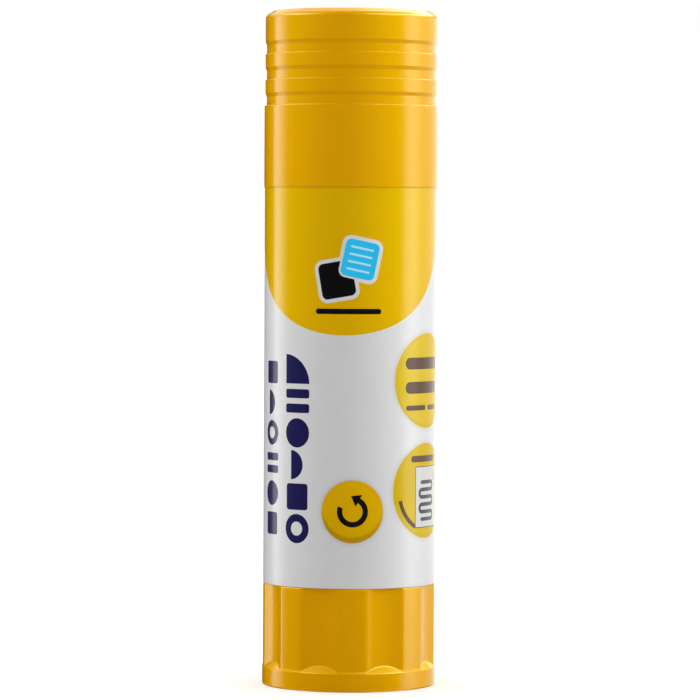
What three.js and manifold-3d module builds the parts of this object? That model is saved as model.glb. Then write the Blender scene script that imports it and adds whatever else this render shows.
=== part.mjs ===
// A twist-up glue stick, capped and wound down, standing on its knob.
// Millimetres, +Z up, origin at the centre of the base. The front of the label faces -Y.

import * as THREE from "three";
import { mergeVertices } from "three/addons/utils/BufferGeometryUtils.js";
import Module from "manifold-3d";

const wasm = await Module();
wasm.setup();

// Fits and clearances
const runningGap = 0.3; // between pieces that turn or slide end to end
const slideGap = 0.25; // round the glue and its carrier in the bore
const threadGap = 0.25; // between the screw and its nut
const castGap = 0.15; // between the glue and what it was cast against
const capFitGap = 0.3; // between the neck and the cap's inner wall
const capSeatGap = 0.12; // under the rim of the seated cap
const knobTopGap = 0.15; // between the knob's rim and the barrel
const socketGap = 0.2; // round the screw's foot in the knob

// Body
const bodyRadius = 12.88; // outside of the label
const bodyLength = 59.2; // from the barrel's lower edge to the shoulder under the cap
const labelThickness = 0.1;
const labelGap = 0.04; // adhesive under the label
const labelInset = 0.05; // bare barrel above and below the label

// Barrel
const neckLength = 18;
const neckWall = 0.95;
const neckEdge = 0.3;
const neckBeadHeight = 0.12;
const neckBeadWidth = 1;
const neckBeadRise = 3; // shoulder to the bead's lower edge
const bulkheadThickness = 1.4;
const bulkheadRise = 0.8; // barrel's lower edge to the bulkhead's underside
const stubLength = 7.5; // barrel's lower edge to the end of the skirt inside the knob
const stubWall = 1.2;
const guideRibCount = 4;
const guideRibHeight = 0.45;
const guideRibWidth = 1.2;
const guideRibEndGap = 5; // bare bore between the ribs and the mouth

// Cap
const capLength = 26.28;
const capProud = 0.12; // skirt beyond the label
const capWall = 0.95;
const capTop = 1.25;
const capTopInset = 1.18; // wall to the edge of the flat top
const capBevelAngle = 58; // degrees that the bevel leans in
const capTopRound = 0.6; // between the wall and the bevel
const capRimEdge = 0.2;
const capSkirtLength = 12.2; // rim to the lowest groove
const capGrooveCount = 3;
const capGroovePitch = 3.85;
const capGrooveWidth = 1.88;
const capGrooveSlope = 0.55; // height of the sloped upper side, within the width
const capGrooveDepth = 0.21;
const sealRingWall = 0.8;
const sealRingReach = 1.5; // into the neck

// Knob
const knobHeight = 15.2;
const knobFlangeHeight = 2.72;
const knobFlangeProud = 0.1; // flange beyond the lobes
const knobFlangeBevel = 0.12;
const knobEdge = 0.25;
const knobWall = 1; // at the floor of a flute
const knobFloor = 1.6; // above the foot recess
const footRimWidth = 2.2;
const footRecess = 0.5;
const fluteCount = 8;
const fluteDepth = 0.72;
const fluteHalfAngle = 13.25; // degrees
const fluteFirstAngle = 25; // degrees from the front, towards +X
const fluteRampHeight = 1.07; // sloped foot of a flute, above the flange
const socketWall = 1.5;
const socketTopGap = 0.5; // knob's socket to the bulkhead's underside

// Screw
const journalRadius = 3; // plain shaft in the bulkhead
const footStep = 0.1; // corners of the six-sided foot inside the journal
const collarOverlap = 1.3; // collar beyond the bulkhead's hole
const collarThickness = 1.2;
const screwCrestRadius = 3.3;
const screwRootRadius = 2.5;
const screwPitch = 6;
const screwCrestWidth = 1.4;
const screwFlankWidth = 0.9;
const screwTipBevel = 0.6;

// Carrier and glue
const carrierFloor = 1.2;
const carrierDepth = 6; // floor to the rim
const carrierWall = 0.6; // at the bottom of a notch
const nutWall = 1.4;
const notchSideGap = 0.3;
const glueRecess = 4.5; // glue's top below the mouth of the neck
const glueCover = 4; // glue above the tip of the screw
const glueBoreGap = 0.35;
const glueBoreEndGap = 0.5;
const glueEdge = 0.8;

// Facets
const outerSegments = 64;
const innerSegments = 48;
const screwSegments = 16;
const fluteSegments = 72;
const roundSteps = 3;

// Colours
const orangePlastic = 0xdc9a08;
const naturalPlastic = 0xf1f0ea;
const labelWhite = 0xf4f2ea;
const glueWhite = 0xf3efdf;

// Levels up the axis
const barrelBottom = knobHeight + knobTopGap;
const stubBottom = barrelBottom - stubLength;
const bulkheadBottom = barrelBottom + bulkheadRise;
const bulkheadTop = bulkheadBottom + bulkheadThickness;
const shoulder = barrelBottom + bodyLength;
const neckTop = shoulder + neckLength;
const capRim = shoulder + capSeatGap;
const capSummit = capRim + capLength;
const capCeiling = capSummit - capTop;
const capSkirtTop = capRim + capSkirtLength;
const knobFloorTop = footRecess + knobFloor;
const socketTop = bulkheadBottom - socketTopGap;
const collarBottom = bulkheadTop + runningGap;
const collarTop = collarBottom + collarThickness;
const carrierBottom = collarTop + runningGap;
const carrierFloorTop = carrierBottom + carrierFloor;
const carrierRim = carrierFloorTop + carrierDepth;
const glueTop = neckTop - glueRecess;
const screwTop = glueTop - glueCover;

// Radii
const barrelRadius = bodyRadius - labelThickness - labelGap;
const capRadius = bodyRadius + capProud;
const capInnerRadius = capRadius - capWall;
const capGrooveRadius = bodyRadius - capGrooveDepth;
const neckRadius = capInnerRadius - capFitGap;
const boreRadius = neckRadius - neckWall;
const sealRingRadius = boreRadius - slideGap;
const knobRadius = bodyRadius;
const knobFlangeRadius = knobRadius + knobFlangeProud;
const knobInnerRadius = knobRadius - fluteDepth - knobWall;
const footRecessRadius = knobFlangeRadius - footRimWidth;
const stubRadius = knobInnerRadius - runningGap;
const holeRadius = journalRadius + runningGap;
const collarRadius = holeRadius + collarOverlap;
const socketRadius = journalRadius - footStep + socketGap;
const nutRadius = screwCrestRadius + threadGap + nutWall;
const carrierRadius = boreRadius - slideGap;
const guideRibRadius = boreRadius - guideRibHeight;
const notchRadius = guideRibRadius - slideGap;
const carrierInnerRadius = notchRadius - carrierWall;
const glueBoreRadius = screwCrestRadius + glueBoreGap;

// A closed geometry as a solid that can be joined and cut.
function toSolid(geometry) {
  const bare = new THREE.BufferGeometry();
  bare.setAttribute("position", geometry.getAttribute("position"));
  bare.setIndex(geometry.index);
  const merged = mergeVertices(bare, 1e-4);
  const corners = [];
  for (let i = 0; i < merged.index.count; i += 3) {
    const [a, b, c] = merged.index.array.slice(i, i + 3);
    if (a !== b && b !== c && c !== a) corners.push(a, b, c);
  }
  const mesh = new wasm.Mesh({
    numProp: 3,
    vertProperties: new Float32Array(merged.attributes.position.array),
    triVerts: new Uint32Array(corners),
  });
  return new wasm.Manifold(mesh);
}

// The geometry of a solid.
function toGeometry(solid) {
  const mesh = solid.getMesh();
  const geometry = new THREE.BufferGeometry();
  geometry.setAttribute("position", new THREE.BufferAttribute(mesh.vertProperties, 3));
  geometry.setIndex(new THREE.BufferAttribute(mesh.triVerts, 1));
  const flat = geometry.toNonIndexed();
  flat.computeVertexNormals();
  return flat;
}

// A profile of [radius, height] pairs turned about +Z. It runs up the outside and down the inside.
function revolve(profile, segments) {
  const points = profile.map(([radius, height]) => new THREE.Vector2(radius, height));
  return toSolid(new THREE.LatheGeometry(points, segments).rotateX(Math.PI / 2));
}

// A ring or sleeve whose profile closes on itself.
function revolveRing(profile, segments) {
  return revolve([...profile, profile[0]], segments);
}

// A bar with flat sides whose corners lie on a circle.
function polygonBar(cornerRadius, sides, bottom, top) {
  const shape = new THREE.Shape();
  for (let i = 0; i < sides; i++) {
    const angle = (i / sides) * 2 * Math.PI;
    const x = cornerRadius * Math.cos(angle);
    const y = cornerRadius * Math.sin(angle);
    if (i === 0) shape.moveTo(x, y);
    else shape.lineTo(x, y);
  }
  shape.closePath();
  const geometry = new THREE.ExtrudeGeometry(shape, { depth: top - bottom, bevelEnabled: false });
  return toSolid(geometry.translate(0, 0, bottom));
}

// Radial bars of one width, evenly spaced about +Z, between two radii and two levels.
function radialBars(count, width, innerRadius, outerRadius, bottom, top) {
  const bars = [];
  for (let i = 0; i < count; i++) {
    const geometry = new THREE.BoxGeometry(outerRadius - innerRadius, width, top - bottom);
    geometry.translate((innerRadius + outerRadius) / 2, 0, (bottom + top) / 2);
    bars.push(toSolid(geometry.rotateZ(((i + 0.5) / count) * 2 * Math.PI)));
  }
  return bars;
}

// A closed loop of vertices joined to one point on the axis.
function closeWithFan(positions, corners, loop, height) {
  const tip = positions.length / 3;
  positions.push(0, 0, height);
  loop.forEach((vertex, i) => corners.push(tip, vertex, loop[(i + 1) % loop.length]));
}

// A left-hand screw that runs past both levels, with every surface grown by a clearance.
// Each column of vertices lies lower than the one before, so a turn joins on to the next.
function screwForm(bottom, top, clearance) {
  const crestWidth = screwCrestWidth + 2 * clearance;
  const rootWidth = screwPitch - 2 * screwFlankWidth - crestWidth;
  const rootRadius = screwRootRadius + clearance;
  const crestRadius = screwCrestRadius + clearance;
  const turn = [
    [rootRadius, -rootWidth / 2],
    [rootRadius, rootWidth / 2],
    [crestRadius, rootWidth / 2 + screwFlankWidth],
    [crestRadius, rootWidth / 2 + screwFlankWidth + crestWidth],
  ];
  const turns = Math.ceil((top - bottom) / screwPitch) + 3;
  const rows = turns * turn.length;
  const positions = [];
  for (let row = 0; row <= rows; row++) {
    const [radius, offset] = turn[row % turn.length];
    const start = bottom + (Math.floor(row / turn.length) - 1) * screwPitch + offset;
    for (let column = 0; column < screwSegments; column++) {
      const share = column / screwSegments;
      const x = radius * Math.cos(share * 2 * Math.PI);
      const y = radius * Math.sin(share * 2 * Math.PI);
      positions.push(x, y, start - share * screwPitch);
    }
  }
  const vertex = (row, column) =>
    column < screwSegments ? row * screwSegments + column : (row - turn.length) * screwSegments;
  const corners = [];
  for (let row = 0; row < rows; row++) {
    const columns = row < turn.length ? screwSegments - 1 : screwSegments;
    for (let column = 0; column < columns; column++) {
      const a = vertex(row, column);
      const b = vertex(row, column + 1);
      const c = vertex(row + 1, column + 1);
      const d = vertex(row + 1, column);
      corners.push(a, b, c, a, c, d);
    }
  }
  const bottomLoop = [];
  const topLoop = [];
  for (let column = 0; column < screwSegments; column++) {
    bottomLoop.push(vertex(0, column));
    topLoop.push(vertex(rows, column));
  }
  for (let row = 1; row <= turn.length; row++) bottomLoop.push(vertex(row, screwSegments - 1));
  for (let row = rows - turn.length; row < rows; row++) topLoop.push(vertex(row, 0));
  closeWithFan(positions, corners, bottomLoop.reverse(), bottom - 3 * screwPitch);
  closeWithFan(positions, corners, topLoop, top + 3 * screwPitch);
  const geometry = new THREE.BufferGeometry();
  geometry.setAttribute("position", new THREE.Float32BufferAttribute(positions, 3));
  geometry.setIndex(corners);
  return toSolid(geometry);
}

// Bars that stand where the barrel's guide ribs run, wide and deep enough to clear them.
function ribClearances(bottom, top) {
  const width = guideRibWidth + 2 * notchSideGap;
  return radialBars(guideRibCount, width, notchRadius, carrierRadius + slideGap, bottom, top);
}

function makeKnob() {
  const bevelTop = knobFlangeHeight + knobFlangeBevel;
  const profile = [
    [0, footRecess],
    [footRecessRadius, footRecess],
    [footRecessRadius, 0],
    [knobFlangeRadius - knobEdge, 0],
    [knobFlangeRadius, knobEdge],
    [knobFlangeRadius, knobFlangeHeight],
    [knobRadius, bevelTop],
    [knobRadius, knobHeight - knobEdge],
    [knobRadius - knobEdge, knobHeight],
    [knobInnerRadius, knobHeight],
    [knobInnerRadius, knobFloorTop],
    [socketRadius + socketWall, knobFloorTop],
    [socketRadius + socketWall, socketTop],
    [0, socketTop],
  ];
  let knob = revolve(profile, outerSegments);
  knob = knob.subtract(polygonBar(socketRadius, 6, knobFloorTop, socketTop + socketGap));
  // Each flute is cut by an upright bar with a conical foot, outside the knob.
  const halfAngle = THREE.MathUtils.degToRad(fluteHalfAngle);
  const halfWidth = knobRadius * Math.sin(halfAngle);
  const sag = fluteDepth - knobRadius * (1 - Math.cos(halfAngle));
  const fluteRadius = (halfWidth ** 2 + sag ** 2) / (2 * sag);
  const cutterProfile = [
    [0, knobFlangeHeight],
    [fluteRadius - fluteDepth - knobFlangeProud, knobFlangeHeight],
    [fluteRadius, knobFlangeHeight + fluteRampHeight],
    [fluteRadius, knobHeight + knobEdge],
    [0, knobHeight + knobEdge],
  ];
  const cutter = revolve(cutterProfile, fluteSegments);
  const cutterDistance = knobRadius - fluteDepth + fluteRadius;
  for (let i = 0; i < fluteCount; i++) {
    const angle = THREE.MathUtils.degToRad(fluteFirstAngle) + (i / fluteCount) * 2 * Math.PI;
    const x = cutterDistance * Math.sin(angle);
    const y = -cutterDistance * Math.cos(angle);
    knob = knob.subtract(cutter.translate([x, y, 0]));
  }
  return knob;
}

function makeSpindle() {
  const footRadius = journalRadius - footStep;
  const shaftProfile = [
    [0, socketTop],
    [journalRadius, socketTop],
    [journalRadius, collarBottom],
    [collarRadius, collarBottom],
    [collarRadius, collarTop],
    [0, collarTop],
  ];
  const shaft = revolve(shaftProfile, innerSegments);
  const foot = polygonBar(footRadius, 6, knobFloorTop + socketGap, collarBottom);
  const trimRadius = screwCrestRadius + screwTipBevel;
  const trimProfile = [
    [0, collarBottom],
    [trimRadius, collarBottom],
    [trimRadius, screwTop - 2 * screwTipBevel],
    [trimRadius - 2 * screwTipBevel, screwTop],
    [0, screwTop],
  ];
  const screw = screwForm(collarTop, screwTop, 0).intersect(revolve(trimProfile, innerSegments));
  return shaft.add(foot).add(screw);
}

function makeBarrel() {
  const stubInnerRadius = stubRadius - stubWall;
  const beadBottom = shoulder + neckBeadRise;
  const profile = [
    [stubInnerRadius, stubBottom],
    [stubRadius, stubBottom],
    [stubRadius, barrelBottom],
    [barrelRadius, barrelBottom],
    [barrelRadius, shoulder],
    [neckRadius, shoulder],
    [neckRadius, beadBottom],
    [neckRadius + neckBeadHeight, beadBottom + neckBeadWidth / 3],
    [neckRadius + neckBeadHeight, beadBottom + (2 * neckBeadWidth) / 3],
    [neckRadius, beadBottom + neckBeadWidth],
    [neckRadius, neckTop - neckEdge],
    [neckRadius - neckEdge, neckTop],
    [boreRadius, neckTop],
    [boreRadius, bulkheadTop],
    [holeRadius, bulkheadTop],
    [holeRadius, bulkheadBottom],
    [stubInnerRadius, bulkheadBottom],
  ];
  const ribRoot = boreRadius + neckWall / 2;
  const ribBottom = bulkheadTop - bulkheadThickness / 2;
  const ribTop = neckTop - guideRibEndGap;
  const ribs = radialBars(guideRibCount, guideRibWidth, guideRibRadius, ribRoot, ribBottom, ribTop);
  return ribs.reduce((barrel, rib) => barrel.add(rib), revolveRing(profile, outerSegments));
}

function makeLabel() {
  const bottom = barrelBottom + labelInset;
  const top = shoulder - labelInset;
  const profile = [
    [bodyRadius - labelThickness, bottom],
    [bodyRadius, bottom],
    [bodyRadius, top],
    [bodyRadius - labelThickness, top],
  ];
  return revolveRing(profile, outerSegments);
}

function makeCarrier() {
  const profile = [
    [0, carrierBottom],
    [carrierRadius, carrierBottom],
    [carrierRadius, carrierRim],
    [carrierInnerRadius, carrierRim],
    [carrierInnerRadius, carrierFloorTop],
    [nutRadius, carrierFloorTop],
    [nutRadius, carrierRim],
    [0, carrierRim],
  ];
  const solid = revolve(profile, innerSegments).subtract(screwForm(collarTop, screwTop, threadGap));
  const notches = ribClearances(carrierBottom - slideGap, carrierRim + slideGap);
  return notches.reduce((carrier, notch) => carrier.subtract(notch), solid);
}

function makeGlue() {
  const foot = carrierFloorTop + castGap;
  const waist = carrierRim + castGap;
  const profile = [
    [0, screwTop + glueBoreEndGap],
    [glueBoreRadius, screwTop + glueBoreEndGap],
    [glueBoreRadius, waist],
    [nutRadius + castGap, waist],
    [nutRadius + castGap, foot],
    [carrierInnerRadius - castGap, foot],
    [carrierInnerRadius - castGap, waist],
    [carrierRadius, waist],
    [carrierRadius, glueTop - glueEdge],
    [carrierRadius - glueEdge, glueTop],
    [0, glueTop],
  ];
  const grooves = ribClearances(waist - castGap, glueTop + slideGap);
  return grooves.reduce((glue, groove) => glue.subtract(groove), revolve(profile, innerSegments));
}

function makeCap() {
  const profile = [
    [0, capCeiling],
    [sealRingRadius - sealRingWall, capCeiling],
    [sealRingRadius - sealRingWall, neckTop - sealRingReach],
    [sealRingRadius, neckTop - sealRingReach],
    [sealRingRadius, capCeiling],
    [capInnerRadius, capCeiling],
    [capInnerRadius, capRim + capRimEdge],
    [capInnerRadius + capRimEdge, capRim],
    [capRadius - capRimEdge, capRim],
    [capRadius, capRim + capRimEdge],
    [capRadius, capSkirtTop],
  ];
  // Each groove has a square lower side and a sloped upper one.
  for (let i = 0; i < capGrooveCount; i++) {
    const grooveBottom = capSkirtTop + i * capGroovePitch;
    if (i > 0) profile.push([bodyRadius, grooveBottom]);
    profile.push([capGrooveRadius, grooveBottom]);
    profile.push([capGrooveRadius, grooveBottom + capGrooveWidth - capGrooveSlope]);
    profile.push([bodyRadius, grooveBottom + capGrooveWidth]);
  }
  const bevelAngle = THREE.MathUtils.degToRad(capBevelAngle);
  const bevelHeight = capTopInset / Math.tan(bevelAngle);
  const roundBottom = capSummit - bevelHeight - capTopRound * Math.tan(bevelAngle / 2);
  for (let step = 0; step <= roundSteps; step++) {
    const turn = (step / roundSteps) * bevelAngle;
    const radius = bodyRadius - capTopRound * (1 - Math.cos(turn));
    profile.push([radius, roundBottom + capTopRound * Math.sin(turn)]);
  }
  profile.push([bodyRadius - capTopInset, capSummit]);
  profile.push([0, capSummit]);
  return revolve(profile, outerSegments);
}

function makePiece(name, solid, color, roughness) {
  const material = new THREE.MeshStandardMaterial({ color, roughness, metalness: 0 });
  const piece = new THREE.Mesh(toGeometry(solid), material);
  piece.name = name;
  return piece;
}

// The knob turns the screw, the screw lifts the carrier and its glue, and rising glue lifts the cap.
const capGroup = new THREE.Group();
capGroup.add(makePiece("cap", makeCap(), orangePlastic, 0.3));

const liftGroup = new THREE.Group();
liftGroup.add(makePiece("carrier_cup", makeCarrier(), naturalPlastic, 0.45));
liftGroup.add(makePiece("glue_stick", makeGlue(), glueWhite, 0.55));
liftGroup.add(capGroup);

const turnGroup = new THREE.Group();
turnGroup.add(makePiece("knob", makeKnob(), orangePlastic, 0.3));
turnGroup.add(makePiece("spindle", makeSpindle(), naturalPlastic, 0.4));

const stick = new THREE.Group();
stick.add(makePiece("barrel", makeBarrel(), naturalPlastic, 0.4));
stick.add(makePiece("label", makeLabel(), labelWhite, 0.35));
stick.add(turnGroup, liftGroup);

export default stick;
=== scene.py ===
"""A capped glue stick on a white table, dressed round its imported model. Metres, +Z up."""

import math

import bpy
import numpy as np
from mathutils import Matrix, Vector
from mathutils.geometry import delaunay_2d_cdt


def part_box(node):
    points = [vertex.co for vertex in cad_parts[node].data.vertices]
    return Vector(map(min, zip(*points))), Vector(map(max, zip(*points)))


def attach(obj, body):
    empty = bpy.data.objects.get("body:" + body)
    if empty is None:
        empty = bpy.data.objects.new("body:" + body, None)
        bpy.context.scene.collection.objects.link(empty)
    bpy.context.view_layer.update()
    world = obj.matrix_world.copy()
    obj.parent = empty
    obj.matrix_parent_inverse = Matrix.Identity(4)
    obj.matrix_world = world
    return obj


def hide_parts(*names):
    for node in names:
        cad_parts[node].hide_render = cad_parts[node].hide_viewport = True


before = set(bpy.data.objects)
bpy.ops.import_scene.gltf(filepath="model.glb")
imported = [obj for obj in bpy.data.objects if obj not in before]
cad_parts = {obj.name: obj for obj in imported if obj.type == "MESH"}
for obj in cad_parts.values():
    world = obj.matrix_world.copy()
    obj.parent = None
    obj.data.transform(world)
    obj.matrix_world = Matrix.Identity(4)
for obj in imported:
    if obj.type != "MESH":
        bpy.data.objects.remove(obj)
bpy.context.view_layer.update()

MM = 0.001

# Fineness of the meshes
SEGMENTS = 288  # round the axis
RIBBED_SEGMENTS = 360  # round the barrel and the glue, with their ribs and grooves
KNOB_SEGMENTS = 480
ARC_STEPS = 6  # along a fillet
LABEL_COLUMNS = 145
LABEL_LEVELS = 12

# Tolerances, in millimetres but for the first
NEARLY_STRAIGHT = 0.01  # a corner that turns less, in radians a side, gets no fillet
SLIGHT = 0.01
ON_LINE = 1e-6


# Sizes of the real pieces, in millimetres. Those that a node's box gives are read from it.

def span(node):
    """(radius, lowest level, highest level) of a round node, in millimetres."""
    low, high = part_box(node)
    return high.x / MM, low.z / MM, high.z / MM


CAP_RADIUS, _, CAP_SUMMIT = span("cap")
BODY_RADIUS, SHEET_BOTTOM, SHEET_TOP = span("label")
BARREL_RADIUS, STUB_BOTTOM, NECK_TOP = span("barrel")
FLANGE_RADIUS, KNOB_BOTTOM, _ = span("knob")
GLUE_RADIUS, GLUE_BOTTOM, GLUE_TOP = span("glue_stick")

RUNNING_GAP = 0.3
SLIDE_GAP = 0.25
CAST_GAP = 0.15
CAP_FIT_GAP = 0.3

# The node's label stops just short of the barrel's edges, and the dressed one reaches them. The cap's rim
# and the knob's top come a little nearer than their nodes, so that the joints look closed.
LABEL_INSET = 0.05
LABEL_TOP = SHEET_TOP + LABEL_INSET
LABEL_BOTTOM = SHEET_BOTTOM - LABEL_INSET
SHOULDER = LABEL_TOP
BARREL_BOTTOM = LABEL_BOTTOM
SEAT_GAP = 0.02
CAP_RIM = SHOULDER + SEAT_GAP
KNOB_TOP = BARREL_BOTTOM - SEAT_GAP

CAP_WALL = 0.95
CAP_INNER = CAP_RADIUS - CAP_WALL
CAP_TOP = 1.25
CAP_TOP_INSET = 1.18
CAP_BEVEL_ANGLE = 58
CAP_SKIRT = 12.2
GROOVE_COUNT = 3
GROOVE_PITCH = 3.85
GROOVE_WIDTH = 1.88
GROOVE_SLOPE = 0.55
GROOVE_DEPTH = 0.21
SEAL_RING_WALL = 0.8
SEAL_RING_REACH = 1.5

NECK_WALL = 0.95
NECK_RADIUS = CAP_INNER - CAP_FIT_GAP
BORE_RADIUS = NECK_RADIUS - NECK_WALL
BEAD_RISE = 3
BEAD_WIDTH = 1
BEAD_HEIGHT = 0.12
BULKHEAD_RISE = 0.8
BULKHEAD_THICKNESS = 1.4
BULKHEAD_BOTTOM = BARREL_BOTTOM + BULKHEAD_RISE
BULKHEAD_TOP = BULKHEAD_BOTTOM + BULKHEAD_THICKNESS
HOLE_RADIUS = 3.3
STUB_WALL = 1.2
GUIDE_RIBS = 4
GUIDE_RIB_FIRST = 45
GUIDE_RIB_HEIGHT = 0.45
GUIDE_RIB_WIDTH = 1.2
GUIDE_RIB_EDGE = 0.15
GUIDE_RIB_END = 5
GUIDE_RIB_TOP = NECK_TOP - GUIDE_RIB_END
GUIDE_RIB_RUN_OUT = 0.3

FLANGE_HEIGHT = 2.72
FLANGE_PROUD = 0.1
FLANGE_STEP = 0.3
LOBE_RADIUS = FLANGE_RADIUS - FLANGE_PROUD
FLUTES = 8
FLUTE_DEPTH = 0.72
FLUTE_HALF_ANGLE = 13.25
FLUTE_FIRST = 25
FLUTE_FOOT = 1.07
FLUTE_BLEND = 0.16
KNOB_EDGE = 0.25
KNOB_WALL = 1
KNOB_INNER = LOBE_RADIUS - FLUTE_DEPTH - KNOB_WALL
KNOB_FLOOR = 2.1
FOOT_RECESS = 0.5
FOOT_RIM = 2.2
FOOT_RECESS_RADIUS = FLANGE_RADIUS - FOOT_RIM
SOCKET_RADIUS = 3.1
SOCKET_WALL = 1.5
SOCKET_GAP = 0.5
SOCKET_TOP = BULKHEAD_BOTTOM - SOCKET_GAP

CARRIER_WALL = 0.6
CARRIER_RIM = 26.7
GLUE_WAIST = CARRIER_RIM + CAST_GAP
GLUE_EDGE = 0.8
GLUE_BORE = 3.65
GLUE_ROOF = 3.5
GLUE_BORE_TOP = GLUE_TOP - GLUE_ROOF
GLUE_DISH = 0.2
GLUE_DISH_RADIUS = GLUE_RADIUS * 0.55
GLUE_NUT_ROOM = 1.45
GLUE_GROOVE_GAP = 0.3
GLUE_GROOVE_EDGE = 0.3

LABEL_THICKNESS = 0.1


# Meshes

def placed(name, mesh):
    """An object of the scene that shows a mesh."""
    made = bpy.data.objects.new(name, mesh)
    bpy.context.scene.collection.objects.link(made)
    return made


def eased(share):
    """A share from 0 to 1 that starts and stops softly."""
    return share * share * (3 - 2 * share)


def rounded(corners, closed=False):
    """A profile of (radius, height, fillet) corners as points, with each fillet as an arc."""
    points = []
    count = len(corners)
    for i, (radius, height, fillet) in enumerate(corners):
        here = np.array([radius, height], float)
        end = not closed and i in (0, count - 1)
        if fillet == 0 or end:
            points.append(here)
            continue
        before = np.array(corners[i - 1][:2], float) - here
        after = np.array(corners[(i + 1) % count][:2], float) - here
        before /= np.linalg.norm(before)
        after /= np.linalg.norm(after)
        half = math.acos(np.clip(before @ after, -1, 1)) / 2
        if math.pi / 2 - half < NEARLY_STRAIGHT:
            points.append(here)
            continue
        middle = before + after
        middle /= np.linalg.norm(middle)
        centre = here + middle * fillet / math.sin(half)
        start = here + before * fillet / math.tan(half) - centre
        stop = here + after * fillet / math.tan(half) - centre
        sweep = math.pi - 2 * half
        for step in range(ARC_STEPS + 1):
            t = step / ARC_STEPS
            a, b = math.sin((1 - t) * sweep), math.sin(t * sweep)
            points.append(centre + (start * a + stop * b) / math.sin(sweep))
    return np.array(points)


def turned(name, profile, closed=False, radius_at=None, segments=SEGMENTS):
    """A closed mesh turned about +Z from a profile that runs up the outside and down the inside.
    radius_at(angles, radius, height) gives radii that change round the axis."""
    rows = len(profile)
    angles = np.arange(segments) / segments * 2 * math.pi
    around = np.stack([np.sin(angles), -np.cos(angles)], 1)
    grid = np.zeros((rows, segments, 3))
    for row, (radius, height) in enumerate(profile):
        radii = np.full(segments, radius) if radius_at is None else radius_at(angles, radius, height)
        grid[row, :, :2] = around * radii[:, None]
        grid[row, :, 2] = height
    across = np.roll(grid, -1, 1) - np.roll(grid, 1, 1)
    along = np.zeros_like(grid)
    for row in range(rows):
        after = (row + 1) % rows if closed else min(row + 1, rows - 1)
        before = (row - 1) % rows if closed else max(row - 1, 0)
        along[row] = grid[after] - grid[before]
    slopes = np.cross(across, along)
    # A row on the axis is a single point.
    on_axis = [radius < ON_LINE for radius, _ in profile]
    vertices, normals, index = [], [], np.zeros((rows, segments), int)
    for row in range(rows):
        for column in range(1 if on_axis[row] else segments):
            index[row, column:] = len(vertices)
            vertices.append(grid[row, column] * MM)
            slope = slopes[row, column]
            normals.append(slope / max(np.linalg.norm(slope), 1e-12))
    faces = []
    for row in range(rows if closed else rows - 1):
        below, above = index[row], index[(row + 1) % rows]
        for column in range(segments):
            following = (column + 1) % segments
            corners = [below[column], below[following], above[following], above[column]]
            faces.append([int(c) for k, c in enumerate(corners) if c != corners[k - 1]])
    # The point on the axis takes the normal of the faces round it.
    for row in range(rows):
        if on_axis[row]:
            touching = faces[0] if row == 0 else faces[-1]
            a, b, c = (Vector(vertices[k]) for k in touching[:3])
            normals[index[row, 0]] = (b - a).cross(c - a).normalized()
    return smooth_mesh(name, vertices, faces, normals)


def smooth_mesh(name, vertices, faces, normals):
    """An object from points in metres, with its own vertex normals."""
    mesh = bpy.data.meshes.new(name)
    mesh.from_pydata([tuple(v) for v in vertices], [], faces)
    mesh.polygons.foreach_set("use_smooth", [True] * len(mesh.polygons))
    mesh.update()
    mesh.normals_split_custom_set_from_vertices([tuple(n) for n in normals])
    return placed(name, mesh)


def cap_profile():
    ceiling = CAP_SUMMIT - CAP_TOP
    ring_outer = BORE_RADIUS - SLIDE_GAP
    ring_inner = ring_outer - SEAL_RING_WALL
    ring_bottom = NECK_TOP - SEAL_RING_REACH
    groove_radius = BODY_RADIUS - GROOVE_DEPTH
    skirt_top = CAP_RIM + CAP_SKIRT
    corners = [
        (0, ceiling, 0),
        (ring_inner, ceiling, 0.25),
        (ring_inner, ring_bottom, 0.2),
        (ring_outer, ring_bottom, 0.3),
        (ring_outer, ceiling, 0.25),
        (CAP_INNER, ceiling, 0.35),
        (CAP_INNER, CAP_RIM, 0.2),
        (CAP_RADIUS, CAP_RIM, 0.05),
        (CAP_RADIUS, skirt_top, 0.1),
    ]
    for i in range(GROOVE_COUNT):
        bottom = skirt_top + i * GROOVE_PITCH
        if i > 0:
            corners.append((BODY_RADIUS, bottom, 0.08))
        corners.append((groove_radius, bottom, 0.07))
        corners.append((groove_radius, bottom + GROOVE_WIDTH - GROOVE_SLOPE, 0.25))
        corners.append((BODY_RADIUS, bottom + GROOVE_WIDTH, 0.3))
    bevel_height = CAP_TOP_INSET / math.tan(math.radians(CAP_BEVEL_ANGLE))
    corners.append((BODY_RADIUS, CAP_SUMMIT - bevel_height, 0.75))
    corners.append((BODY_RADIUS - CAP_TOP_INSET, CAP_SUMMIT, 0.45))
    corners.append((0, CAP_SUMMIT, 0))
    return rounded(corners)


def from_nearest(angles, count, first):
    """Angles measured from the nearest of evenly spaced places, with the first of them in degrees."""
    spacing = 2 * math.pi / count
    return (angles - math.radians(first) + spacing / 2) % spacing - spacing / 2


def soft_min(a, b, width):
    """The smaller of two values, rounded where they cross."""
    near = np.clip(width - np.abs(a - b), 0, None) / width
    return np.minimum(a, b) - near * near * width / 4


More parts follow.
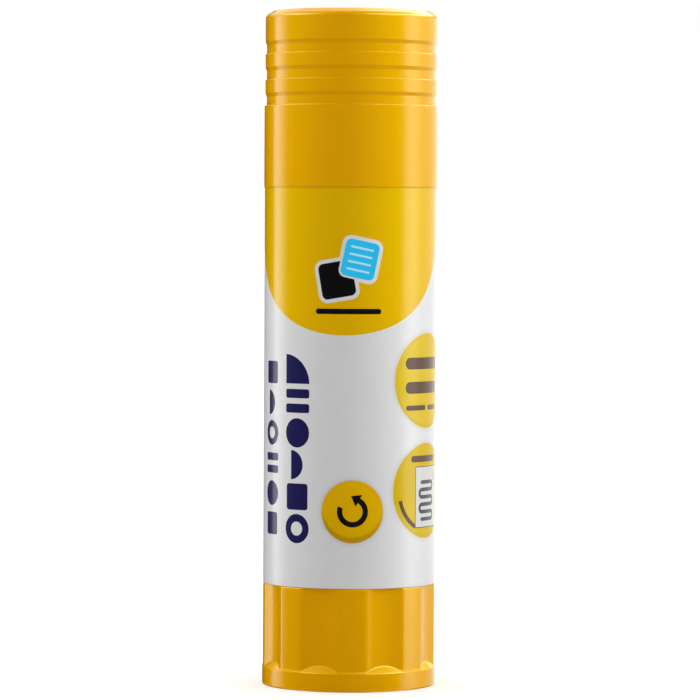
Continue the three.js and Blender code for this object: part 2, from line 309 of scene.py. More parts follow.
def knob_radius(angles, radius, height):
    """The knob's outer wall. Flutes scoop it, and each ends in a slope that comes out to the flange."""
    plain = np.full(len(angles), float(radius))
    if radius <= KNOB_INNER + SLIGHT or height <= FLANGE_HEIGHT - 2 * SLIGHT:
        return plain
    half = math.radians(FLUTE_HALF_ANGLE)
    half_width = LOBE_RADIUS * math.sin(half)
    sag = FLUTE_DEPTH - LOBE_RADIUS * (1 - math.cos(half))
    cutter = (half_width**2 + sag**2) / (2 * sag)
    distance = LOBE_RADIUS - FLUTE_DEPTH + cutter
    offset = from_nearest(angles, FLUTES, FLUTE_FIRST)
    inside = cutter**2 - (distance * np.sin(offset)) ** 2
    scoop = distance * np.cos(offset) - np.sqrt(np.clip(inside, 0, None))
    clear_of_knob = FLANGE_RADIUS + 1
    scoop = np.where(inside > 0, scoop, clear_of_knob)
    steepness = (FLUTE_DEPTH + FLANGE_RADIUS - LOBE_RADIUS) / FLUTE_FOOT
    foot = np.full(len(angles), FLANGE_RADIUS - steepness * (height - FLANGE_HEIGHT))
    scoop = -soft_min(-scoop, -foot, FLUTE_BLEND)
    if radius > LOBE_RADIUS:
        return soft_min(plain, scoop, FLUTE_BLEND / 2)
    # On the rounded rim and the top face the scoop dies away towards the bore.
    wall = soft_min(np.full(len(angles), LOBE_RADIUS), scoop, FLUTE_BLEND)
    share = (radius - KNOB_INNER) / (LOBE_RADIUS - KNOB_INNER)
    return radius - (LOBE_RADIUS - wall) * min(max(share, 0), 1)


def knob_profile():
    socket_outer = SOCKET_RADIUS + SOCKET_WALL
    points = rounded([
        (0, FOOT_RECESS, 0),
        (FOOT_RECESS_RADIUS, FOOT_RECESS, 0.15),
        (FOOT_RECESS_RADIUS, KNOB_BOTTOM, 0.15),
        (FLANGE_RADIUS, KNOB_BOTTOM, KNOB_EDGE),
        (FLANGE_RADIUS, FLANGE_HEIGHT, 0.6),
        (LOBE_RADIUS, FLANGE_HEIGHT + FLANGE_STEP, 0.6),
        (LOBE_RADIUS, KNOB_TOP, KNOB_EDGE),
        (KNOB_INNER, KNOB_TOP, 0.15),
        (KNOB_INNER, KNOB_FLOOR, 0.3),
        (socket_outer, KNOB_FLOOR, 0.2),
        (socket_outer, SOCKET_TOP, 0.15),
        (SOCKET_RADIUS, SOCKET_TOP, 0.1),
        (SOCKET_RADIUS, KNOB_FLOOR, 0.1),
        (0, KNOB_FLOOR, 0),
    ])
    # The fluted wall has many rows up its foot, and a few above.
    foot_rows, wall_rows = 15, 4
    foot_top = FLANGE_HEIGHT + FLUTE_FOOT + 0.15
    out = [points[0]]
    for a, b in zip(points[:-1], points[1:]):
        fluted_wall = min(a[0], b[0]) > LOBE_RADIUS - ON_LINE and a[1] > FLANGE_HEIGHT and b[1] - a[1] > 1
        if not fluted_wall:
            out.append(b)
            continue
        foot_levels = np.linspace(a[1], foot_top, foot_rows + 1)[1:]
        wall_levels = np.linspace(foot_top, b[1], wall_rows + 1)[1:]
        out += [np.array([a[0], z]) for z in (*foot_levels, *wall_levels)]
    return np.array(out)


def near_rib(angles, radius, half_width, edge):
    """1 on the guide ribs and 0 between them, with soft edges."""
    offset = from_nearest(angles, GUIDE_RIBS, GUIDE_RIB_FIRST)
    away = np.abs(radius * np.sin(offset)) - half_width
    return eased(np.clip(0.5 - away / edge, 0, 1))


def bore_radius(angles, radius, height):
    """The barrel's bore, with guide ribs that start above the bulkhead and stop short of the mouth."""
    plain = np.full(len(angles), float(radius))
    if abs(radius - BORE_RADIUS) > ON_LINE:
        return plain
    end = min(max((GUIDE_RIB_TOP - height) / GUIDE_RIB_RUN_OUT, 0), 1)
    rise = near_rib(angles, BORE_RADIUS, GUIDE_RIB_WIDTH / 2, GUIDE_RIB_EDGE)
    return plain - GUIDE_RIB_HEIGHT * end * rise


def barrel_profile():
    stub_outer = KNOB_INNER - RUNNING_GAP
    stub_inner = stub_outer - STUB_WALL
    bead = SHOULDER + BEAD_RISE
    points = rounded([
        (stub_inner, STUB_BOTTOM, 0.15),
        (stub_outer, STUB_BOTTOM, 0.15),
        (stub_outer, BARREL_BOTTOM, 0.15),
        (BARREL_RADIUS, BARREL_BOTTOM, 0.05),
        (BARREL_RADIUS, SHOULDER, 0.05),
        (NECK_RADIUS, SHOULDER, 0.2),
        (NECK_RADIUS, bead, 0.3),
        (NECK_RADIUS + BEAD_HEIGHT, bead + BEAD_WIDTH / 2, 0.6),
        (NECK_RADIUS, bead + BEAD_WIDTH, 0.3),
        (NECK_RADIUS, NECK_TOP, 0.35),
        (BORE_RADIUS, NECK_TOP, 0.3),
        (BORE_RADIUS, BULKHEAD_TOP, 0.3),
        (HOLE_RADIUS, BULKHEAD_TOP, 0.15),
        (HOLE_RADIUS, BULKHEAD_BOTTOM, 0.15),
        (stub_inner, BULKHEAD_BOTTOM, 0.3),
    ], closed=True)
    out = []
    for a, b in zip(points, np.roll(points, -1, 0)):
        out.append(a)
        if abs(a[0] - BORE_RADIUS) < ON_LINE and abs(b[0] - BORE_RADIUS) < ON_LINE:
            for drop in (-0.1, 0, GUIDE_RIB_RUN_OUT / 2, GUIDE_RIB_RUN_OUT, GUIDE_RIB_RUN_OUT + 0.1):
                out.append(np.array([BORE_RADIUS, GUIDE_RIB_TOP - drop]))
    return np.array(out)


def glue_radius(angles, radius, height):
    """The glue, grooved by the guide ribs as it was cast between them."""
    plain = np.full(len(angles), float(radius))
    if radius < GLUE_RADIUS - 2 or height < CARRIER_RIM - 0.05:
        return plain
    half_width = GUIDE_RIB_WIDTH / 2 + GLUE_GROOVE_GAP
    depth = GLUE_RADIUS - (BORE_RADIUS - GUIDE_RIB_HEIGHT - SLIDE_GAP)
    return plain - depth * near_rib(angles, GLUE_RADIUS, half_width, GLUE_GROOVE_EDGE)


def glue_profile():
    """The glue with its bore, its foot in the carrier, and a top that is a little dished."""
    foot = BORE_RADIUS - GUIDE_RIB_HEIGHT - SLIDE_GAP - CARRIER_WALL - CAST_GAP
    nut = GLUE_BORE + GLUE_NUT_ROOM
    return rounded([
        (0, GLUE_BORE_TOP, 0),
        (GLUE_BORE, GLUE_BORE_TOP, 0.2),
        (GLUE_BORE, GLUE_WAIST, 0.2),
        (nut, GLUE_WAIST, 0.2),
        (nut, GLUE_BOTTOM, 0.2),
        (foot, GLUE_BOTTOM, 0.2),
        (foot, GLUE_WAIST, 0.2),
        (GLUE_RADIUS, GLUE_WAIST, 0.15),
        (GLUE_RADIUS, GLUE_TOP, GLUE_EDGE),
        (GLUE_DISH_RADIUS, GLUE_TOP - 0.6 * GLUE_DISH, 6),
        (0, GLUE_TOP - GLUE_DISH, 0),
    ])


# The label's print, in the plane of the unrolled label: u to the right of the front, z up, in millimetres

GIRTH = 2 * math.pi * BODY_RADIUS
BACK = GIRTH / 2
SEAM_ANGLE = -93
SEAM_LEFT = math.radians(SEAM_ANGLE) * BODY_RADIUS
SEAM_RIGHT = SEAM_LEFT + GIRTH
OVERLAP_WIDTH = 4
OVERLAP_EDGE = 0.8
OVERLAP_RISE = 0.05

# Discs, as (u, z, radius)
SMALL_DISC = (0.49, 26.73, 4.62)
UPPER_DISC = (14.03, 45.9, 7.06)
LOWER_DISC = (13.84, 29.54, 7.09)
DISCS = (SMALL_DISC, UPPER_DISC, LOWER_DISC)

print_shapes = []


def printed(ink, outline):
    """Adds a shape to the print, over those before it."""
    print_shapes.append((ink, outline))


def arc(u, z, radius, turn):
    """Points of a circle at a list of angles, in radians from +u."""
    return np.stack([u + radius * np.cos(turn), z + radius * np.sin(turn)], 1)


def circle(u, z, radius, steps=72):
    return arc(u, z, radius, np.arange(steps) / steps * 2 * math.pi)


def sector(u, z, radius, start, stop, steps=36, inner=0.0):
    """A slice of a disc, or of a ring, between two angles in degrees from +u."""
    turn = np.radians(np.linspace(start, stop, steps))
    outer = arc(u, z, radius, turn)
    if inner > 0:
        return np.vstack([outer, arc(u, z, inner, turn[::-1])])
    half_disc = stop - start == 180
    return outer if half_disc else np.vstack([outer, [[u, z]]])


def block(u, z, width, height, corner, tilt=0.0):
    """A rectangle with rounded corners."""
    points = []
    for i, (su, sz) in enumerate(((1, 1), (-1, 1), (-1, -1), (1, -1))):
        centre = np.array([su * (width / 2 - corner), sz * (height / 2 - corner)])
        for k in range(ARC_STEPS + 1):
            a = math.radians(90 * (i + k / ARC_STEPS))
            points.append(centre + corner * np.array([math.cos(a), math.sin(a)]))
    c, s = math.cos(math.radians(tilt)), math.sin(math.radians(tilt))
    return np.array(points) @ np.array([[c, s], [-s, c]]) + [u, z]


def ribbon(points, width, end_steps=8):
    """A stroke of one width along a line of points, with round ends."""
    points = np.array(points, float)
    steps = np.gradient(points, axis=0)
    steps /= np.linalg.norm(steps, axis=1, keepdims=True)
    side = np.stack([-steps[:, 1], steps[:, 0]], 1) * width / 2
    ends = []
    for tip, ahead, edge in ((points[-1], steps[-1], side[-1]), (points[0], -steps[0], -side[0])):
        turn = np.radians(np.linspace(0, 180, end_steps + 1))[1:-1]
        ends.append([tip + edge * math.cos(t) + ahead * width / 2 * math.sin(t) for t in turn])
    return np.vstack([points + side, ends[0], (points - side)[::-1], ends[1]])


def switchback(u, z, width, pitch, runs, steps=9):
    """A line that goes to and fro as it climbs, with round turns."""
    points = []
    for k in range(runs):
        side = 1 if k % 2 == 0 else -1
        level = z + k * pitch
        points += [(u - side * width / 2, level), (u + side * width / 2, level)]
        if k < runs - 1:
            for t in np.radians(np.linspace(-90, 90, steps))[1:-1]:
                across, up = pitch / 2 * math.cos(t), pitch / 2 * math.sin(t)
                points.append((u + side * (width / 2 + across), level + pitch / 2 + up))
    return points


def lobe(u, steps=150):
    """The colour block that hangs from the label's top edge."""
    centre, radius = 72.27, 19.56
    rise = math.asin((LABEL_TOP - centre) / radius)
    return arc(u, centre, radius, np.linspace(math.pi - rise, 2 * math.pi + rise, steps))


def two_sheets(u, z):
    """Two sheets of paper, one stuck on the other, with a pale edge, over a short bar."""
    lower = dict(u=u - 1.75, z=z - 1.55, width=5.1, height=5.3, tilt=10)
    upper = dict(u=u + 1.7, z=z + 1.45, width=5.1, height=5.5, tilt=-12)

    def widened(sheet, extra):
        return dict(sheet, width=sheet["width"] + extra, height=sheet["height"] + extra)

    edge = 0.55
    for sheet in (lower, upper):
        printed("white", block(corner=1.3, **widened(sheet, 2 * edge)))
    printed("dark", block(corner=0.8, **lower))
    printed("white", block(corner=1.1, **widened(upper, edge)))
    printed("sky", block(corner=0.8, **upper))
    tilt = upper["tilt"]
    c, s = math.cos(math.radians(tilt)), math.sin(math.radians(tilt))
    lines, pitch = 4, 1.1
    for k in range(lines):
        up = (k - (lines - 1) / 2) * pitch
        line = dict(u=upper["u"] - s * up, z=upper["z"] + c * up, width=3.5, height=0.32, tilt=tilt)
        printed("pale_sky", block(corner=0.15, **line))
    printed("dark", block(u, z - 6.2, width=9.9, height=0.8, corner=0.4))


def column_of_shapes(kinds, u, z, size, pitch):
    """Plain shapes one above the other."""
    for k, kind in enumerate(kinds):
        level = z + k * pitch
        if kind == "disc":
            printed("navy", circle(u, level, size))
        elif kind == "ring":
            printed("navy", circle(u, level, size))
            printed("white", circle(u, level, size * 0.48))
        elif kind == "square":
            printed("navy", block(u, level, 1.8 * size, 1.8 * size, size * 0.2))
        elif kind == "half":
            printed("navy", sector(u - size * 0.5, level, size, -90, 90))
        elif kind == "bars":
            for side in (0.5, -0.5):
                printed("navy", block(u, level + side * size, 2 * size, size * 0.62, size * 0.15))
        elif kind == "quarter":
            printed("navy", sector(u - size, level - size, 2 * size, 0, 90))


def twist_arrow(u, z, radius, width):
    """A bent arrow: turn here."""
    tail, tip = -200, 60
    printed("dark", sector(u, z, radius + width / 2, tail, tip, inner=radius - width / 2))
    out = np.array([math.cos(math.radians(tip)), math.sin(math.radians(tip))])
    ahead = np.array([-out[1], out[0]])
    on = np.array([u, z]) + radius * out
    printed("dark", np.array([on - out * width * 1.25, on + out * width * 1.25, on + ahead * width * 1.7]))


def greeked(ink, u, z, widths, height, pitch=0.0):
    """Lines of text as plain bars, from the top one down."""
    for k, width in enumerate(widths):
        printed(ink, block(u + width / 2, z - k * pitch, width, height, height * 0.45))


def print_front():
    near_column = ("ring", "square", "half", "disc", "bars", "quarter")
    column_of_shapes(near_column, u=-8.38, z=24.03, size=2.17, pitch=4.726)
    far_column = ("square", "disc", "bars", "ring", "half", "square")
    column_of_shapes(far_column, u=-14.3, z=24.55, size=1.85, pitch=4.5)
    printed("button", circle(*SMALL_DISC, 96))
    twist_arrow(*SMALL_DISC[:2], radius=1.9, width=0.8)
    printed("lemon", circle(*UPPER_DISC, 96))
    greeked("brown", u=9.0, z=48.5, widths=(9.9, 9.5), height=1.75, pitch=3.6)
    greeked("brown", u=9.1, z=41.9, widths=(4.6,), height=0.75)
    greeked("brown", u=14.4, z=41.9, widths=(3.6,), height=0.75)
    printed("lemon", circle(*LOWER_DISC, 96))
    greeked("brown", u=10.2, z=34.3, widths=(6.9,), height=0.95)
    printed("brown", sector(*LOWER_DISC[:2], radius=6.25, start=193, stop=243, inner=5.6))
    folded_sheet(u=14.9, z=28.6)


def folded_sheet(u, z):
    """A sheet in a thin frame, with a folded corner and a trail of glue."""
    width, height, frame_width, fold = 7.3, 8.9, 0.125, 2.05
    printed("brown", block(u, z, width + 2 * frame_width, height + 2 * frame_width, corner=0.2))
    printed("white", block(u, z, width, height, corner=0.12))
    right, top = u + width / 2, z + height / 2
    printed("grey", np.array([[right, top - fold], [right - fold, top], [right - fold, top - fold]]))
    printed("slate", ribbon(switchback(u - 0.55, z - 3.3, width=3.2, pitch=1.1, runs=6), 0.56))


def print_back():
    half_width = 11.5
    left = BACK - half_width
    greeked("navy", left, z=47.2, widths=(13.5,), height=1.6)
    greeked("ink", left, z=44.2, widths=(22.6, 21.9, 22.8, 21.2, 22.4, 22.9, 14.3), height=0.5, pitch=1.3)
    greeked("ink", left, z=33.8, widths=(22.7, 22.1, 21.4, 22.8, 9.6), height=0.5, pitch=1.3)
    # An empty ruled box
    for ink, inset, corner in (("ink", 0, 0.7), ("white", 0.2, 0.5)):
        width, height = 2 * (half_width - inset), 2 * (3.2 - inset)
        printed(ink, block(BACK, z=22.3, width=width, height=height, corner=corner))


for front in (0, BACK):
    printed("yellow", lobe(u=front - 0.79))
    two_sheets(u=front - 0.25, z=62.45)
print_front()
print_back()


def inside(outline, points):
    """Which points lie inside a closed outline."""
    x, y = points[:, 0], points[:, 1]
    hit = np.zeros(len(points), bool)
    for (x0, y0), (x1, y1) in zip(outline, np.roll(outline, -1, 0)):
        if y0 == y1:
            continue
        crosses = (y0 > y) != (y1 > y)
        hit ^= crosses & (x < (x1 - x0) * (y - y0) / (y1 - y0) + x0)
    return hit


def cut_sheet():
    """The flat label as points and triangles, cut along the edges of its print."""
    columns = np.linspace(SEAM_LEFT, SEAM_RIGHT, LABEL_COLUMNS)
    levels = np.linspace(LABEL_BOTTOM, LABEL_TOP, LABEL_LEVELS)
    points, edges = [], []
    for u in columns:
        start = len(points)
        points += [(u, z) for z in levels]
        edges += [(start + k, start + k + 1) for k in range(len(levels) - 1)]
    for k in (0, len(levels) - 1):
        across = [column * len(levels) + k for column in range(len(columns))]
        edges += list(zip(across[:-1], across[1:]))
    for _, outline in print_shapes:
        start = len(points)
        points += [tuple(p) for p in outline]
        edges += [(start + k, start + (k + 1) % len(outline)) for k in range(len(outline))]
    whole_hull, merge_distance = 0, 1e-5
    flat, _, faces, *_ = delaunay_2d_cdt([Vector(p) for p in points], edges, [], whole_hull, merge_distance)
    flat = np.array([tuple(p) for p in flat])
    faces = [f for f in faces if len(set(f)) == 3]
    corners = flat[np.array(faces)]
    (ax, ay), (bx, by) = (corners[:, 1] - corners[:, 0]).T, (corners[:, 2] - corners[:, 0]).T
    area = ax * by - ay * bx
    # Slivers are left out, and the rest face outwards.
    sliver = 1e-9
    return flat, [f if a > 0 else f[::-1] for f, a in zip(faces, area) if abs(a) > sliver]


def make_label():
    """A thin closed sleeve whose outer face is cut along the edges of its print."""
    flat, faces = cut_sheet()
    count = len(flat)
    middles = flat[np.array(faces)].mean(1)
    inks = np.full(len(faces), "white", object)
    for ink, outline in print_shapes:
        inks[inside(outline, middles)] = ink
    # The sleeve's last few millimetres lie over its first.
    lap = eased(np.clip((flat[:, 0] - (SEAM_RIGHT - OVERLAP_WIDTH)) / OVERLAP_EDGE, 0, 1))
    outer = BODY_RADIUS + OVERLAP_RISE * lap
    angles = flat[:, 0] / BODY_RADIUS
    ring = np.stack([np.sin(angles), -np.cos(angles)], 1)
    vertices = np.vstack([
        np.column_stack([ring * outer[:, None], flat[:, 1]]),
        np.column_stack([ring * (BODY_RADIUS - LABEL_THICKNESS), flat[:, 1]]),
    ]) * MM
    # Its faces: the outside, the inside, and the sheet's edges at the two rims and the lap.
    sides = dict.fromkeys((a, b) for f in faces for a, b in zip(f, f[1:] + f[:1]))
    rim = [(a, b) for a, b in sides if (b, a) not in sides]
    all_faces = [tuple(f) for f in faces]
    all_faces += [tuple(k + count for k in f[::-1]) for f in faces]
    all_faces += [(b, a, a + count, b + count) for a, b in rim]
    all_inks = list(inks) + ["white"] * (len(faces) + len(rim))
    mesh = bpy.data.meshes.new("label_print")
    mesh.from_pydata([tuple(v) for v in vertices], [], all_faces)
    mesh.polygons.foreach_set("use_smooth", [True] * (2 * len(faces)) + [False] * len(rim))
    unrolled = np.column_stack([np.vstack([flat, flat]), np.zeros(2 * count)])
    mesh.attributes.new("unrolled", "FLOAT_VECTOR", "POINT").data.foreach_set("vector", unrolled.ravel())
    mesh.update()
    normals = []
    for polygon in mesh.polygons:
        for k in polygon.vertices:
            if polygon.use_smooth:
                sign = 1 if polygon.index < len(faces) else -1
                normals.append((*(sign * ring[k % count]), 0))
            else:
                normals.append(tuple(polygon.normal))
    mesh.normals_split_custom_set(normals)
    names = sorted(set(all_inks))
    for name in names:
        mesh.materials.append(INKS[name])
    mesh.polygons.foreach_set("material_index", [names.index(i) for i in all_inks])
    return placed("label_print", mesh)


# Materials

class Nodes:
    """A node tree, with short calls to make and join its nodes."""

    def __init__(self, tree):
        self.tree = tree

    def feed(self, socket, value):
        """Links a socket to another, or gives it a value."""
        if isinstance(value, bpy.types.NodeSocket):
            self.tree.links.new(value, socket)
        else:
            socket.default_value = value

    def node(self, kind, inputs=None, **settings):
        made = self.tree.nodes.new(kind)
        for key, value in settings.items():
            setattr(made, key, value)
        for key, value in (inputs or {}).items():
            self.feed(made.inputs[key], value)
        return made

    def combined(self, operation, a, b):
        return self.node("ShaderNodeMath", {0: a, 1: b}, operation=operation).outputs["Value"]

    def place(self):
        return self.node("ShaderNodeTexCoord").outputs["Object"]

    def noise(self, scale, detail=3.0, roughness=0.5, vector=None):
        inputs = {"Vector": vector or self.place(), "Scale": scale, "Detail": detail, "Roughness": roughness}
        return self.node("ShaderNodeTexNoise", inputs).outputs["Fac"]

    def ranged(self, value, low, high, new_low, new_high, smooth=False):
        inputs = {"Value": value, "From Min": low, "From Max": high, "To Min": new_low, "To Max": new_high}
        kind = "SMOOTHSTEP" if smooth else "LINEAR"
        return self.node("ShaderNodeMapRange", inputs, interpolation_type=kind).outputs["Result"]

    def spread(self, noise, low, high):
        """A noise between two values. It seldom leaves the middle of its own range."""
        return self.ranged(noise, 0.3, 0.7, low, high)

    def mixed(self, share, a, b):
        return self.node("ShaderNodeMix", {0: share, 6: a, 7: b}, data_type="RGBA").outputs[2]

    def bump(self, height, distance, normal=None):
        inputs = {"Height": height, "Distance": distance, "Strength": 1.0}
        if normal is not None:
            inputs["Normal"] = normal
        return self.node("ShaderNodeBump", inputs).outputs["Normal"]

    def unrolled(self):
        """The place on the unrolled label, in millimetres."""
        settings = dict(attribute_name="unrolled", attribute_type="GEOMETRY")
        return self.node("ShaderNodeAttribute", **settings).outputs["Vector"]

    def distance(self, vector, point):
        inputs = {0: vector, 1: point}
        return self.node("ShaderNodeVectorMath", inputs, operation="DISTANCE").outputs["Value"]


class Surface(Nodes):
    """A material with its Principled shader."""

    def __init__(self, name):
        self.material = bpy.data.materials.new(name)
        self.material.use_nodes = True
        super().__init__(self.material.node_tree)
        self.shader = self.tree.nodes["Principled BSDF"]

    def set(self, **values):
        """Sets or links the shader's own sockets, with _ for a space."""
        for key, value in values.items():
            self.feed(self.shader.inputs[key.replace("_", " ")], value)


def opaque(color):
    return (*color, 1.0)


def shaded(color, factor):
    return opaque([c * factor for c in color])


ORANGE = (0.88, 0.15, 0.0003)
NATURAL = (0.77, 0.76, 0.71)
GLUE_CREAM = (0.86, 0.84, 0.76)
GLUE_WHITE = (0.91, 0.90, 0.84)
LABEL_YELLOW = (0.84, 0.24, 0.0003)
LABEL_WHITE = (0.625, 0.62, 0.622)
HALO = (0.36, 0.33, 0.30)
WARM_TINT = (0.75, 1.0, 0.0)
NO_TINT = (1, 1, 1)

# Gloss has two layers. Under a sharp clear coat lies a haze, broad and strong, which has the plastic's tint.
HAZE_IOR = 2.5
HAZE_ROUGHNESS = 0.6
ROUGHNESS_SWING = 0.03
COAT_IOR = 1.5
COAT_ROUGHNESS = 0.1
FULL_COAT = 0.75
LIGHT_COAT = 0.5
PLAIN_INK_ROUGHNESS = 0.4
PLAIN_INK_IOR = 1.45
PLAIN_INK_LEVEL = 0.2


def moulded_plastic(name, color, tint, roughness=HAZE_ROUGHNESS, ior=HAZE_IOR, coat=FULL_COAT):
    """Glossy moulded plastic: faint flow marks in its colour, two layers of gloss, and shallow sinks."""
    s = Surface(name)
    place = s.place()
    stretched = s.node("ShaderNodeMapping", {"Vector": place, "Scale": (1, 1, 0.25)}).outputs["Vector"]
    flow = s.noise(scale=90, detail=4, vector=stretched)
    s.set(Base_Color=s.mixed(s.spread(flow, 0, 1), shaded(color, 0.975), shaded(color, 1.02)))
    rub = s.noise(scale=700, detail=3, roughness=0.6, vector=place)
    s.set(Roughness=s.spread(rub, roughness - ROUGHNESS_SWING, roughness + ROUGHNESS_SWING))
    sinks = s.bump(s.noise(scale=55, detail=1, vector=stretched), 0.00006)
    grain = s.bump(s.noise(scale=1500, detail=2, vector=place), 0.0000015, normal=sinks)
    s.set(Normal=grain, Coat_Normal=grain)
    s.set(IOR=ior, Specular_IOR_Level=1.0, Specular_Tint=opaque(tint))
    s.set(Coat_Weight=coat, Coat_Roughness=COAT_ROUGHNESS, Coat_IOR=COAT_IOR)
    return s


def natural_plastic():
    """Satin plastic without pigment, with some light passing through."""
    s = moulded_plastic("natural_plastic", NATURAL, NO_TINT, roughness=0.38, ior=1.5, coat=0.0)
    s.set(Subsurface_Weight=0.25, Subsurface_Radius=(1.0, 0.9, 0.7), Subsurface_Scale=0.0015)
    return s


def glue_paste():
    """Waxy off-white glue, cloudy and a little wavy."""
    s = Surface("glue_paste")
    place = s.place()
    cloud = s.spread(s.noise(scale=120, detail=4, vector=place), 0, 1)
    s.set(Base_Color=s.mixed(cloud, opaque(GLUE_CREAM), opaque(GLUE_WHITE)))
    s.set(Roughness=s.spread(s.noise(scale=500, detail=3, vector=place), 0.36, 0.5))
    waves = s.bump(s.noise(scale=180, detail=2, vector=place), 0.00005)
    s.set(Normal=s.bump(s.noise(scale=1400, detail=2, vector=place), 0.000004, normal=waves))
    s.set(Subsurface_Weight=0.5, Subsurface_Radius=(1.0, 0.95, 0.8), Subsurface_Scale=0.003, IOR=1.47)
    return s


def printed_film(name, tint=NO_TINT, haze=True, coat=LIGHT_COAT):
    """Ink under clear film: two layers of gloss and the film's fine orange peel. A plain ink has no haze."""
    s = Surface(name)
    place = s.place()
    if haze:
        roughness, ior, level = HAZE_ROUGHNESS, HAZE_IOR, 1.0
    else:
        roughness, ior, level = PLAIN_INK_ROUGHNESS, PLAIN_INK_IOR, PLAIN_INK_LEVEL
    rub = s.noise(scale=900, detail=2, vector=place)
    s.set(Roughness=s.spread(rub, roughness - ROUGHNESS_SWING, roughness + ROUGHNESS_SWING))
    peel = s.bump(s.noise(scale=260, detail=2, vector=place), 0.000012)
    s.set(Normal=peel, Coat_Normal=peel)
    s.set(IOR=ior, Specular_IOR_Level=level, Specular_Tint=opaque(tint))
    s.set(Coat_Weight=coat, Coat_Roughness=COAT_ROUGHNESS, Coat_IOR=COAT_IOR)
    return s


def mottled(s, color, amount):
    """A colour that clouds over a little."""
    cloud = s.spread(s.noise(scale=400, detail=3), 0, 1)
    return s.mixed(cloud, shaded(color, 1 - amount), shaded(color, 1 + amount))


def flat_ink(name, color, **film):
    """An ink of one colour, a little mottled."""
    s = printed_film("print_" + name, **film)
    s.set(Base_Color=mottled(s, color, 0.02))
    return s.material


# Where a printed shade fades in or out, in millimetres outwards from a disc's edge
HALO_FADE = (-0.1, 0.9)
HALO_STRENGTH = 0.42
LINE_FADE = (0.06, 0.2)
LINE_STRENGTH = 0.8
CRESCENT_FADE = (-0.12, 0.14)


def paper():
    """The sheet's white, with a soft shade printed round each disc and a thin line round the small one."""
    s = printed_film("print_white")
    where = s.unrolled()
    shades = [(disc, HALO_FADE, HALO_STRENGTH) for disc in DISCS] + [(SMALL_DISC, LINE_FADE, LINE_STRENGTH)]
    total = 0.0
    for (u, z, radius), (start, stop), strength in shades:
        away = s.distance(where, (u, z, 0))
        shade = s.ranged(away, radius + start, radius + stop, strength, 0.0, smooth=True)
        total = s.combined("MAXIMUM", total, shade)
    s.set(Base_Color=s.mixed(total, mottled(s, LABEL_WHITE, 0.015), opaque(HALO)))
    return s.material


def glowing_disc(name, disc, top, bottom, rim, crescent, coat):
    """A disc's ink, lighter at the top, with a darker crescent of some height along its lower edge."""
    s = printed_film("print_" + name, tint=WARM_TINT, coat=coat)
    u, z, radius = disc
    where = s.unrolled()
    level = s.node("ShaderNodeSeparateXYZ", {"Vector": where}).outputs["Y"]
    base = s.mixed(s.ranged(level, z + radius, z - radius, 0, 1), opaque(top), opaque(bottom))
    away = s.distance(where, (u, z + crescent, 0))
    start, stop = CRESCENT_FADE
    edge = s.ranged(away, radius + start, radius + stop, 0, 1, smooth=True)
    s.set(Base_Color=s.mixed(edge, base, opaque(rim)))
    return s.material


PLAIN_INKS = {
    "navy": (0.006, 0.005, 0.07),
    "dark": (0.004, 0.003, 0.004),
    "sky": (0.01, 0.46, 0.78),
    "pale_sky": (0.36, 0.68, 0.86),
    "brown": (0.10, 0.045, 0.012),
    "grey": (0.50, 0.50, 0.51),
    "slate": (0.05, 0.065, 0.065),
    "ink": (0.08, 0.08, 0.11),
}
INKS = {ink_name: flat_ink(ink_name, color, haze=False) for ink_name, color in PLAIN_INKS.items()}
INKS["yellow"] = flat_ink("yellow", LABEL_YELLOW, tint=WARM_TINT, coat=FULL_COAT)
INKS["white"] = paper()
INKS["button"] = glowing_disc(
    "button", SMALL_DISC, top=(0.85, 0.225, 0.0005), bottom=(0.76, 0.208, 0.0005), rim=(0.58, 0.07, 0.004),
    crescent=0.85, coat=FULL_COAT)
INKS["lemon"] = glowing_disc(
    "lemon", UPPER_DISC, top=(0.71, 0.26, 0.032), bottom=(0.69, 0.25, 0.032), rim=(0.62, 0.195, 0.016),
    crescent=0.5, coat=LIGHT_COAT)

orange = moulded_plastic("orange_plastic", ORANGE, WARM_TINT)
natural = natural_plastic()
glue = glue_paste()


# Pieces

cap = turned("cap_shell", cap_profile())
cap.data.materials.append(orange.material)
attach(cap, "cap")
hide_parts("cap")

knob = turned("knob_shell", knob_profile(), radius_at=knob_radius, segments=KNOB_SEGMENTS)
knob.data.materials.append(orange.material)
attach(knob, "knob")
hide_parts("knob")

barrel = turned(
    "barrel_shell", barrel_profile(), closed=True, radius_at=bore_radius, segments=RIBBED_SEGMENTS)
barrel.data.materials.append(natural.material)
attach(barrel, "barrel")
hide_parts("barrel")

glue_body = turned("glue_body", glue_profile(), radius_at=glue_radius, segments=RIBBED_SEGMENTS)
glue_body.data.materials.append(glue.material)
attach(glue_body, "carrier")
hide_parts("glue_stick")

label = make_label()
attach(label, "barrel")
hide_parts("label")

for node_name in ("spindle", "carrier_cup"):
    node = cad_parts[node_name]
    node.data.materials.clear()
    node.data.materials.append(natural.material)


# Table, world and what the gloss reflects

SURROUND_RADIUS = 0.6
# The lamps' strength at each angle, in degrees from the camera towards +X. There is a narrow lamp on the
# left, and a wide one on the right, which peaks at the stick's side and grows again behind it.
LAMPS = (
    (-176, 0), (-127, 0), (-124, 1.0), (-121, 2.1), (-118, 2.9), (-115, 3.0), (-112, 3.1), (-108, 2.7),
    (-103, 1.9), (-98, 0.9), (-94, 0.2), (-90, 0), (67, 0), (71, 0.3), (76, 1.4), (80, 2.4), (84, 2.9),
    (90, 2.9), (95, 2.6), (100, 1.9), (106, 1.2), (112, 0.9), (118, 0.9), (126, 1.0), (136, 1.2),
    (144, 1.4), (152, 1.6), (170, 1.5), (180, 0.6),
)
# Below the height of the stick's foot they are weaker.
LOW_LAMPS = 0.72
